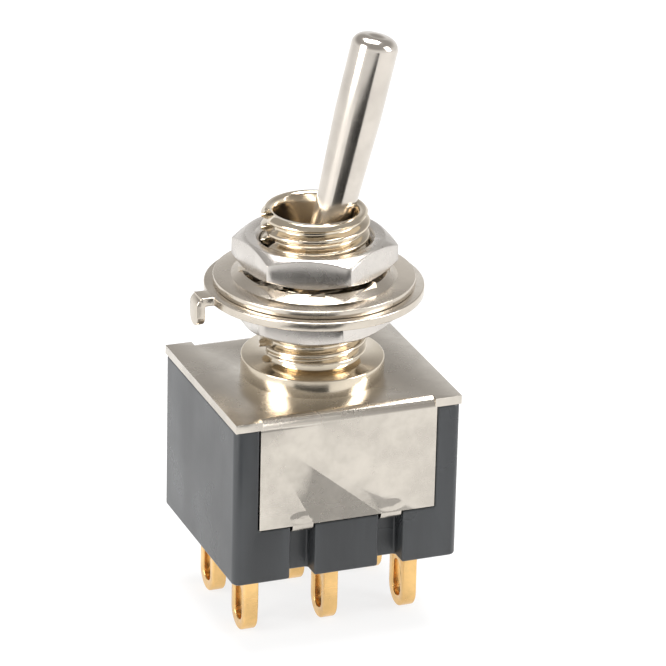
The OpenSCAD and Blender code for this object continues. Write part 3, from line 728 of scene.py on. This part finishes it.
def lock_washer_tree():
    """Sets twisted teeth in a ring inside a dished washer."""
    tree, wiring, given, out = new_geometry_tree("Toothed washer", [
        ("Teeth", "NodeSocketInt"), ("Tooth Radius", "NodeSocketFloat"),
        ("Tooth Size", "NodeSocketVector"), ("Twist", "NodeSocketFloat"),
        ("Height", "NodeSocketFloat"), ("Material", "NodeSocketMaterial"),
    ])
    blank = wiring.node("GeometryNodeMeshCube", {
        "Size": given.outputs["Tooth Size"], "Vertices X": 6, "Vertices Y": 8, "Vertices Z": 3,
    })
    spots = wiring.node("GeometryNodeMeshCircle", {
        "Vertices": given.outputs["Teeth"], "Radius": given.outputs["Tooth Radius"],
    })
    raised = wiring.node("GeometryNodeSetPosition", {
        "Geometry": spots.outputs[0],
        "Offset": wiring.node("ShaderNodeCombineXYZ", {2: given.outputs["Height"]}).outputs[0],
    })
    place = wiring.node("GeometryNodeInputPosition").outputs[0]
    x, y, z = wiring.node("ShaderNodeSeparateXYZ", {0: place}).outputs
    angle = wiring.math("ARCTAN2", y, x)
    turn = wiring.node("ShaderNodeCombineXYZ", {0: given.outputs["Twist"], 2: angle})
    facing = wiring.node("FunctionNodeEulerToRotation", {0: turn.outputs[0]})
    teeth = wiring.node("GeometryNodeInstanceOnPoints", {
        "Points": raised.outputs[0], "Instance": blank.outputs["Mesh"],
        "Rotation": facing.outputs[0],
    })
    half_step = wiring.math("DIVIDE", math.pi, given.outputs["Teeth"])
    spin = wiring.node("ShaderNodeCombineXYZ", {2: half_step})
    spun = wiring.node("GeometryNodeTransform", {
        "Geometry": teeth.outputs[0], "Rotation": spin.outputs[0],
    })
    whole = wiring.node("GeometryNodeJoinGeometry")
    wiring.feed(whole.inputs[0], spun.outputs[0])
    wiring.feed(whole.inputs[0], given.outputs["Geometry"])
    end_tree(wiring, given, out, whole.outputs[0])
    return tree


def spring_tree():
    """Winds a round wire into a coil with closed ends."""
    tree, wiring, given, out = new_geometry_tree("Wound spring", [
        ("Turns", "NodeSocketFloat"), ("Radius", "NodeSocketFloat"),
        ("Height", "NodeSocketFloat"), ("Wire Radius", "NodeSocketFloat"),
        ("Foot", "NodeSocketVector"), ("Material", "NodeSocketMaterial"),
    ])
    line = wiring.node("GeometryNodeCurveSpiral", {
        "Resolution": 24, "Rotations": given.outputs["Turns"],
        "Start Radius": given.outputs["Radius"], "End Radius": given.outputs["Radius"],
        "Height": given.outputs["Height"],
    })
    wire = wiring.node("GeometryNodeCurvePrimitiveCircle", {
        "Resolution": 10, "Radius": given.outputs["Wire Radius"],
    })
    wound = wiring.node("GeometryNodeCurveToMesh", {
        "Curve": line.outputs[0], "Profile Curve": wire.outputs[0], "Fill Caps": True,
    })
    seated = wiring.node("GeometryNodeTransform", {
        "Geometry": wound.outputs[0], "Translation": given.outputs["Foot"],
    })
    end_tree(wiring, given, out, seated.outputs[0])
    return tree


# ---- Operators that make the pieces -----------------------------------------

class SWITCH_OT_case(bpy.types.Operator):
    """Makes the moulded case and the resin that seals it"""

    bl_idname = "switch.make_case"
    bl_label = "Make the case"

    def execute(self, context):
        sizes = context.scene.switch_sizes
        case = piece_from_bmesh("case_softened", merged_copy("case_moulding"))
        soften(case, sizes.moulded_edge, 32.0)
        settle(case)
        finish_piece(case, material("case"), "housing", "case_black", "case_moulding")
        seal = piece_from_bmesh("seal_poured", merged_copy("terminal_seal"))
        soften(seal, 0.06 * MM, 40.0, 2)
        settle(seal)
        finish_piece(seal, material("seal"), "housing", "seal_resin", "terminal_seal")
        return {"FINISHED"}


class SWITCH_OT_frame(bpy.types.Operator):
    """Makes the folded steel frame with its crimp tabs"""

    bl_idname = "switch.make_frame"
    bl_label = "Make the frame"

    def execute(self, context):
        sizes = context.scene.switch_sizes
        sheet = piece_from_bmesh("frame_folded", merged_copy("frame"))
        soften(sheet, sizes.metal_edge, 35.0, clamp=True)
        settle(sheet)
        finish_piece(sheet, material("frame"), "housing", "frame_nickel", "frame")
        return {"FINISHED"}


def bushing_profile(sizes):
    """Closed outline of the bushing, (radius, height), up the outside and down the bore."""
    low = BUSHING_LOW.z
    top = BUSHING_HIGH.z
    under = FRAME_LOW_SHEET
    neck_top = sizes.collar_height + sizes.relief_height
    edge = 0.08 * MM
    outline = [
        (3.52 * MM, low), (3.6 * MM, low + edge), (3.6 * MM, under), (3.15 * MM, under),
        (3.15 * MM, 0.0), (sizes.collar_radius, 0.0),
        (sizes.collar_radius, sizes.collar_height - edge),
        (sizes.collar_radius - edge * 0.3, sizes.collar_height - edge * 0.3),
        (sizes.collar_radius - edge, sizes.collar_height),
        (sizes.relief_radius + 0.05 * MM, sizes.collar_height),
        (sizes.relief_radius, sizes.collar_height + 0.05 * MM),
        (sizes.relief_radius, neck_top),
    ]
    thread_top = top - sizes.thread_bevel
    rings = round((thread_top - neck_top) / sizes.thread_pitch * 20)
    outline += [
        (sizes.thread_radius, neck_top + (thread_top - neck_top) * i / rings)
        for i in range(rings + 1)
    ]
    lip = sizes.thread_bevel / 2
    outline += [
        (sizes.thread_radius - sizes.thread_bevel * k / 4, thread_top + sizes.thread_bevel * k / 4)
        for k in range(1, 4)
    ]
    throat_z = PIVOT.z + math.sqrt(sizes.seat_radius ** 2 - sizes.throat_radius ** 2)
    outline += [
        (sizes.thread_radius - sizes.thread_bevel * 0.96, top - 0.01 * MM),
        (sizes.thread_radius - sizes.thread_bevel * 1.08, top),
        (sizes.mouth_radius + lip, top), (sizes.mouth_radius, top - lip),
        (sizes.mouth_radius, top - sizes.mouth_depth),
        (sizes.throat_radius, throat_z + 0.15 * MM), (sizes.throat_radius, throat_z),
    ]
    first = math.asin(sizes.throat_radius / sizes.seat_radius)
    steps = 10
    for i in range(1, steps + 1):
        a = first + (math.pi / 2 - first) * i / steps
        outline.append(
            (sizes.seat_radius * math.sin(a), PIVOT.z + sizes.seat_radius * math.cos(a))
        )
    outline += [(sizes.seat_radius, PIVOT.z / 2), (sizes.seat_radius + 0.3 * MM, low)]
    return outline


FRAME_LOW_SHEET = -0.5 * MM


def keyed_columns(sizes, count):
    """Even angles, with pairs added where the keyway's walls stand."""
    half = sizes.keyway_width / 2
    outer = math.asin(half / sizes.thread_radius)
    inner = math.asin(half * 0.99 / sizes.thread_radius)
    walls = [math.pi + sign * a for sign in (-1, 1) for a in (outer, inner)]
    plain = [a for a in even_columns(count) if min(abs(a - w) for w in walls) > 0.006]
    return sorted(plain + walls)


class SWITCH_OT_bushing(bpy.types.Operator):
    """Makes the threaded bushing with its collar, keyway and open mouth"""

    bl_idname = "switch.make_bushing"
    bl_label = "Make the bushing"

    def execute(self, context):
        sizes = context.scene.switch_sizes
        body = turned("bushing_threaded", bushing_profile(sizes), keyed_columns(sizes, 144))
        run_tree(body, thread_tree(), {
            "Pitch": sizes.thread_pitch, "Depth": sizes.thread_depth,
            "Thread Radius": sizes.thread_radius,
            "Start": sizes.collar_height + sizes.relief_height,
            "End": BUSHING_HIGH.z, "Keyway Width": sizes.keyway_width,
            "Keyway Depth": sizes.keyway_depth, "Keyway Start": sizes.collar_height + 1e-6,
            "Material": material("bushing"),
        })
        settle(body, 50.0)
        finish_piece(body, material("bushing"), "housing", "bushing_nickel", "bushing")
        return {"FINISHED"}


def lever_profile(sizes):
    """Outline of the upright lever with its pivot at the origin, from its foot to its tip."""
    neck_top = BUSHING_HIGH.z - PIVOT.z
    shoulder = sizes.lever_length - sizes.tip_round
    heel_r, heel_z, stem_r, ball_r = 0.8 * MM, -7.3 * MM, 0.7 * MM, 2.0 * MM
    outline = []
    last = math.pi - math.asin(stem_r / heel_r)
    for i in range(13):
        a = last * i / 12
        outline.append((heel_r * math.sin(a), heel_z - heel_r * math.cos(a)))
    first = math.asin(stem_r / ball_r)
    last = math.pi - math.asin(sizes.neck_radius / ball_r)
    for i in range(21):
        a = first + (last - first) * i / 20
        outline.append((ball_r * math.sin(a), -ball_r * math.cos(a)))
    outline.append((sizes.neck_radius, neck_top))
    outline.append((sizes.tip_radius, shoulder - 4.0 * MM))
    crown = 0.1 * MM
    for i in range(15):
        a = math.pi / 2 * i / 14
        outline.append((
            sizes.tip_radius - sizes.tip_round * (1 - math.cos(a)),
            shoulder + (sizes.tip_round - crown) * math.sin(a),
        ))
    flat = sizes.tip_radius - sizes.tip_round
    for i in range(1, 5):
        r = flat * (1 - i / 4)
        outline.append((r, sizes.lever_length - crown * (r / flat) ** 2))
    return outline


class SWITCH_OT_lever(bpy.types.Operator):
    """Makes the turned lever with its pivot ball and lower ball"""

    bl_idname = "switch.make_lever"
    bl_label = "Make the lever"

    def execute(self, context):
        lever = turned("lever_turned", lever_profile(context.scene.switch_sizes),
                       even_columns(96), closed=False)
        lever.data.transform(
            Matrix.Translation(PIVOT) @ Matrix.Rotation(LEVER_LEAN, 4, "Y")
        )
        settle(lever, 35.0)
        finish_piece(lever, material("lever"), "lever", "lever_nickel", "lever")
        return {"FINISHED"}


def hexagon_nut(name, sizes, low, high, turn):
    """A hexagon nut with chamfered faces and a bevelled bore, between two heights."""
    flat = sizes.nut_flats / 2
    face = flat - 0.12 * MM
    bore = sizes.nut_bore
    bevel = 0.28 * MM
    fall = math.tan(math.radians(30))
    shape = bmesh.new()
    rings = []
    per_side = 16
    for i in range(6 * per_side):
        a = math.pi / 3 * i / per_side
        side = (a % (math.pi / 3)) - math.pi / 6
        reach = flat / math.cos(side)
        drop = (reach - face) * fall
        outline = [
            (bore + bevel, low), (bore, low + bevel), (bore, high - bevel), (bore + bevel, high),
            (face, high), (reach, high - drop), (reach, low + drop), (face, low),
        ]
        c, s = math.cos(a + turn), math.sin(a + turn)
        rings.append([shape.verts.new((r * c, r * s, z)) for r, z in outline])
    for i, ring in enumerate(rings):
        before = rings[i - 1]
        for k in range(len(ring)):
            shape.faces.new((before[k - 1], ring[k - 1], ring[k], before[k]))
    return piece_from_bmesh(name, shape)


class SWITCH_OT_nuts(bpy.types.Operator):
    """Makes the two chamfered hexagon nuts"""

    bl_idname = "switch.make_nuts"
    bl_label = "Make the nuts"

    def execute(self, context):
        sizes = context.scene.switch_sizes
        for name, low, high, turn in (
            ("lower_nut", LOWER_NUT_LOW.z, LOWER_NUT_HIGH.z, math.radians(30)),
            ("upper_nut", UPPER_NUT_LOW.z, UPPER_NUT_HIGH.z, math.radians(-25)),
        ):
            nut = hexagon_nut(name + "_chamfered", sizes, low, high, turn)
            soften(nut, 0.06 * MM, 24.0)
            settle(nut)
            finish_piece(nut, material("nut"), name, "nut_nickel", name)
        return {"FINISHED"}


class SWITCH_OT_washers(bpy.types.Operator):
    """Makes the locating washer and the toothed lock washer"""

    bl_idname = "switch.make_washers"
    bl_label = "Make the washers"

    def execute(self, context):
        sizes = context.scene.switch_sizes
        locating = piece_from_bmesh("locating_washer_pressed", merged_copy("locating_washer"))
        soften(locating, 0.07 * MM, 35.0)
        settle(locating)
        finish_piece(locating, material("washer"), "locating_washer", "washer_nickel",
                     "locating_washer")
        low, thick, dish = LOCK_LOW.z, 0.45 * MM, 0.35 * MM
        outer, root, inner, lip = 5.6 * MM, 4.6 * MM, 4.05 * MM, 0.07 * MM
        ring = turned("lock_washer_toothed", [
            (inner, low + dish), (root, low), (outer - lip, low),
            (outer - lip * 0.3, low + lip * 0.3), (outer, low + lip),
            (outer, low + thick - lip), (outer - lip * 0.3, low + thick - lip * 0.3),
            (outer - lip, low + thick), (root, low + thick), (inner, low + dish + thick),
        ], even_columns(144))
        tooth = (inner - 3.1 * MM + 0.12 * MM, 1.5 * MM, thick)
        run_tree(ring, lock_washer_tree(), {
            "Teeth": sizes.teeth, "Tooth Radius": 3.1 * MM + tooth[0] / 2,
            "Tooth Size": tooth, "Twist": math.radians(14),
            "Height": low + dish + thick / 2, "Material": material("washer"),
        })
        settle(ring, 30.0)
        finish_piece(ring, material("washer"), "lock_washer", "washer_nickel", "lock_washer")
        return {"FINISHED"}


class SWITCH_OT_terminals(bpy.types.Operator):
    """Makes the six slotted terminals"""

    bl_idname = "switch.make_terminals"
    bl_label = "Make the terminals"

    def execute(self, context):
        for node in LUG_NODES:
            lug = piece_from_bmesh(node + "_pressed", merged_copy(node))
            soften(lug, 0.07 * MM, 35.0)
            settle(lug)
            finish_piece(lug, material("lug"), "housing", "lug_gold", node)
        return {"FINISHED"}


class SWITCH_OT_inner_parts(bpy.types.Operator):
    """Winds the springs and gives the inner parts their finishes"""

    bl_idname = "switch.make_inner_parts"
    bl_label = "Make the inner parts"

    def execute(self, context):
        tree = spring_tree()
        wire = 0.11 * MM
        for pole in POLES:
            node = "spring_" + pole
            low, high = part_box(node)
            blank = piece_from_bmesh(node + "_wound", bmesh.new())
            run_tree(blank, tree, {
                "Turns": 5.0, "Radius": (high.x - low.x) / 2 - wire,
                "Height": high.z - low.z - 2 * wire, "Wire Radius": wire,
                "Foot": ((low.x + high.x) / 2, (low.y + high.y) / 2, low.z + wire),
                "Material": material("spring"),
            })
            settle(blank)
            finish_piece(blank, material("spring"), "slider", "spring_steel", node)
        finishes = {"slider": "slider"}
        for pole in POLES:
            finishes["plunger_" + pole] = "plunger"
            finishes["blade_" + pole] = "contact"
            for end in ("left", "right"):
                finishes[f"contact_{pole}_{end}"] = "contact"
        for node, finish in finishes.items():
            carried = frame["nodes"][node]
            for slot in carried.material_slots:
                slot.material = material(finish)
        return {"FINISHED"}


# ---- Studio -----------------------------------------------------------------

def table_material(studio):
    """Pale table that reads as white behind the switch and keeps its shadow."""
    made = bpy.data.materials.new("Pale table")
    made.use_nodes = True
    made.node_tree.nodes.clear()
    wiring = Wiring(made.node_tree)
    cloth = wiring.node("ShaderNodeBsdfDiffuse", {"Color": rgba(studio.floor)})
    white = wiring.node("ShaderNodeEmission", {"Color": (1, 1, 1, 1), "Strength": 1.0})
    seen = backdrop_rays(wiring)
    both = wiring.node("ShaderNodeMixShader", {
        0: wiring.math("MULTIPLY", seen, 0.8), 1: cloth.outputs[0], 2: white.outputs[0],
    })
    out = wiring.node("ShaderNodeOutputMaterial")
    wiring.feed(out.inputs["Surface"], both.outputs[0])
    return made


def backdrop_rays(wiring):
    """1 for the rays that see the backdrop: the camera's, reflections and glass."""
    path = wiring.node("ShaderNodeLightPath")
    seen = wiring.math("ADD", path.outputs["Is Camera Ray"], path.outputs["Is Glossy Ray"])
    seen = wiring.math("ADD", seen, path.outputs["Is Transmission Ray"])
    return wiring.math("MINIMUM", seen, 1.0)


def make_world():
    """White backdrop, with a dimmer ceiling that the metal shows."""
    world = bpy.data.worlds.new("Studio")
    world.use_nodes = True
    world.node_tree.nodes.clear()
    wiring = Wiring(world.node_tree)
    facing = wiring.node("ShaderNodeTexCoord").outputs["Generated"]
    up = wiring.node("ShaderNodeSeparateXYZ", {0: facing}).outputs["Z"]
    path = wiring.node("ShaderNodeLightPath")
    ceiling = wiring.remap(up, 0.05, 0.55)
    room = wiring.blend(ceiling, (1.0, 1.0, 1.0, 1.0), (0.42, 0.41, 0.40, 1.0))
    shown = wiring.blend(path.outputs["Is Camera Ray"], room, (1.0, 1.0, 1.0, 1.0))
    lit = wiring.node("ShaderNodeBackground", {"Color": (1, 1, 1, 1), "Strength": 0.45})
    backdrop = wiring.node("ShaderNodeBackground", {"Color": shown, "Strength": 1.0})
    both = wiring.node("ShaderNodeMixShader", {
        0: backdrop_rays(wiring), 1: lit.outputs[0], 2: backdrop.outputs[0],
    })
    out = wiring.node("ShaderNodeOutputWorld")
    wiring.feed(out.inputs["Surface"], both.outputs[0])
    bpy.context.scene.world = world


def softbox(name, place, target, width, height, power, tint=(1.0, 1.0, 1.0)):
    """A rectangular lamp that faces a point."""
    lamp = bpy.data.lights.new(name, "AREA")
    lamp.shape = "RECTANGLE"
    lamp.size = width
    lamp.size_y = height
    lamp.energy = power
    lamp.color = tint
    made = bpy.data.objects.new(name, lamp)
    bpy.context.scene.collection.objects.link(made)
    place, target = Vector(place), Vector(target)
    made.location = place
    made.rotation_euler = (target - place).to_track_quat("-Z", "Y").to_euler()
    return made


def flat_panel(name, corners, finish):
    """A flat four-cornered panel of the stage."""
    shape = bmesh.new()
    shape.faces.new([shape.verts.new(c) for c in corners])
    mesh = bpy.data.meshes.new(name)
    shape.to_mesh(mesh)
    shape.free()
    panel = bpy.data.objects.new(name, mesh)
    panel.data.materials.append(finish)
    bpy.context.scene.collection.objects.link(panel)
    return panel


def dark_card_material():
    """Matt black card that the turned metal mirrors."""
    made = bpy.data.materials.new("Dark card")
    made.use_nodes = True
    shader = made.node_tree.nodes["Principled BSDF"]
    shader.inputs["Base Color"].default_value = (0.02, 0.02, 0.02, 1.0)
    shader.inputs["Roughness"].default_value = 0.9
    shader.inputs["Specular IOR Level"].default_value = 0.0
    return made


def aim_camera(studio):
    """The camera, turned, raised and rolled as the studio settings say."""
    azimuth, elevation, roll = studio.azimuth, studio.elevation, studio.roll
    back = Vector((
        math.sin(azimuth) * math.cos(elevation), -math.cos(azimuth) * math.cos(elevation),
        math.sin(elevation),
    ))
    right = Vector((math.cos(azimuth), math.sin(azimuth), 0.0))
    up = back.cross(right)
    leaning_up = up * math.cos(roll) - right * math.sin(roll)
    leaning_right = right * math.cos(roll) + up * math.sin(roll)
    data = bpy.data.cameras.new("Camera")
    data.lens = studio.lens
    data.sensor_width = 36.0
    data.clip_start = 0.01
    data.clip_end = 20.0
    camera = bpy.data.objects.new("Camera", data)
    bpy.context.scene.collection.objects.link(camera)
    aim = leaning_right * studio.aim_right + leaning_up * studio.aim_up
    turn = Matrix((leaning_right, leaning_up, back)).transposed()
    camera.matrix_world = Matrix.Translation(aim + back * studio.distance) @ turn.to_4x4()
    bpy.context.scene.camera = camera
    return back


class SWITCH_OT_stage(bpy.types.Operator):
    """Sets up the pale table, the soft lamps, the backdrop and the camera"""

    bl_idname = "switch.make_stage"
    bl_label = "Make the stage"

    def execute(self, context):
        scene = context.scene
        studio = scene.switch_studio
        scene.view_settings.view_transform = "Standard"
        back = aim_camera(studio)
        ground = LUG_LOW.z - 0.01 * MM
        wide = 1.5
        flat_panel("table", [
            (-wide, -wide, ground), (wide, -wide, ground), (wide, wide, ground),
            (-wide, wide, ground),
        ], table_material(studio))
        make_world()
        middle = (CASE_LOW + BUSHING_HIGH) / 2
        softbox("overhead_softbox", (0.02, 0.05, 0.30), middle, 0.22, 0.16, 1.6)
        softbox("left_softbox", (-0.30, -0.06, 0.12), middle, 0.16, 0.22, 1.0, (1.0, 0.98, 0.95))
        softbox("right_softbox", (0.26, -0.16, 0.14), middle, 0.14, 0.20, 0.7)
        card = dark_card_material()
        ahead = Vector((back.x, back.y, 0.0)).normalized()
        across = Vector((-ahead.y, ahead.x, 0.0))
        near, far, half_near, half_far = 0.034, 0.20, 0.017, 0.10
        lift = Vector((0.0, 0.0, ground + 0.2 * MM))
        panel = flat_panel("front_card", [
            ahead * near - across * half_near + lift, ahead * far - across * half_far + lift,
            ahead * far + across * half_far + lift, ahead * near + across * half_near + lift,
        ], card)
        panel.visible_camera = False
        panel.visible_diffuse = False
        panel.visible_shadow = False
        return {"FINISHED"}


class SWITCH_PT_panel(bpy.types.Panel):
    """Lists the steps that make the switch"""

    bl_idname = "SWITCH_PT_panel"
    bl_label = "Toggle Switch"
    bl_space_type = "VIEW_3D"
    bl_region_type = "UI"
    bl_category = "Toggle Switch"

    def draw(self, context):
        layout = self.layout
        for step in STEPS:
            layout.operator(step.bl_idname)
        for label, settings in (
            ("Sizes", context.scene.switch_sizes),
            ("Finishes", context.scene.switch_finishes),
            ("Studio", context.scene.switch_studio),
        ):
            box = layout.box()
            box.label(text=label)
            for name in settings.__annotations__:
                box.prop(settings, name)


STEPS = (
    SWITCH_OT_case, SWITCH_OT_frame, SWITCH_OT_bushing, SWITCH_OT_lever, SWITCH_OT_nuts,
    SWITCH_OT_washers, SWITCH_OT_terminals, SWITCH_OT_inner_parts, SWITCH_OT_stage,
)
SETTINGS = {
    "switch_sizes": SwitchSizes,
    "switch_finishes": SwitchFinishes,
    "switch_studio": SwitchStudio,
}


def register():
    for kind in (*SETTINGS.values(), *STEPS, SWITCH_PT_panel):
        bpy.utils.register_class(kind)
    for name, kind in SETTINGS.items():
        setattr(bpy.types.Scene, name, PointerProperty(type=kind))


def unregister():
    for name in SETTINGS:
        delattr(bpy.types.Scene, name)
    for kind in reversed((*SETTINGS.values(), *STEPS, SWITCH_PT_panel)):
        bpy.utils.unregister_class(kind)


def main():
    register()
    for step in STEPS:
        getattr(bpy.ops.switch, step.bl_idname.split(".")[1])()


if __name__ == "__main__":
    main()
